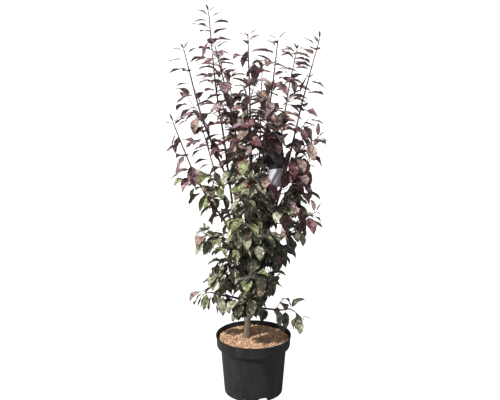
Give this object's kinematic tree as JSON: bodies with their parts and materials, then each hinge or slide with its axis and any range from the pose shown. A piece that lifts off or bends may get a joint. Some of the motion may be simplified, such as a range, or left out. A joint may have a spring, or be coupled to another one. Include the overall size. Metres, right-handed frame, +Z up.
{
  "type": "potted columnar cherry tree",
  "caption": "Young upright cherry tree with plum and green leaves on slender ascending boughs, growing from bark mulch in a round black nursery pot.",
  "frame": {"origin": "centre of the pot's flat underside, on the floor", "axes": "+Z up along the pot's axis, -Y towards the side pictured, +X to the viewer's right"},
  "size_m": [0.5637, 0.4673, 1.4315],
  "materials": {
    "pot_plastic": "satin black moulded plastic",
    "bark_mulch": "rough loose bark chips",
    "trunk_bark": "fine-ringed young bark",
    "bough_bark": "smooth dark shoot bark",
    "plum_leaves": "semi-gloss leaves",
    "green_leaves": "semi-gloss leaves"
  },
  "bodies": {
    "root": {"centre_front_foliage": "green_leaves", "fan_right_bough": "bough_bark", "fan_right_foliage": "plum_leaves", "front_bough": "bough_bark", "front_foliage": "plum_leaves", "front_left_bough": "bough_bark", "front_left_foliage": "plum_leaves", "front_right_bough": "bough_bark", "front_right_foliage": "plum_leaves", "leader_top_foliage": "plum_leaves", "low_front_foliage": "green_leaves", "low_left_foliage": "green_leaves", "low_rear_left_foliage": "green_leaves", "low_rear_right_foliage": "green_leaves", "low_right_foliage": "green_leaves", "lowest_front_foliage": "green_leaves", "lowest_left_foliage": "green_leaves", "lowest_rear_foliage": "green_leaves", "lowest_right_foliage": "green_leaves", "mid_left_foliage": "green_leaves", "mid_right_bough": "bough_bark", "mid_right_foliage": "green_leaves", "mid_right_rear_bough": "bough_bark", "mid_right_rear_foliage": "plum_leaves", "middle_front_foliage": "green_leaves", "middle_rear_foliage": "green_leaves", "middle_right_foliage": "green_leaves", "outer_left_bough": "bough_bark", "outer_left_foliage": "plum_leaves", "outer_rear_left_bough": "bough_bark", "outer_rear_left_foliage": "plum_leaves", "outer_right_bough": "bough_bark", "outer_right_foliage": "plum_leaves", "pot": "pot_plastic", "rear_bough": "bough_bark", "rear_foliage": "plum_leaves", "rear_left_bough": "bough_bark", "rear_left_foliage": "plum_leaves", "rear_right_bough": "bough_bark", "rear_right_foliage": "plum_leaves", "soil": "bark_mulch", "tall_left_bough": "bough_bark", "tall_left_foliage": "plum_leaves", "trunk": "trunk_bark", "upper_left_bough": "bough_bark", "upper_left_foliage": "plum_leaves"}
  },
  "joints": []
}
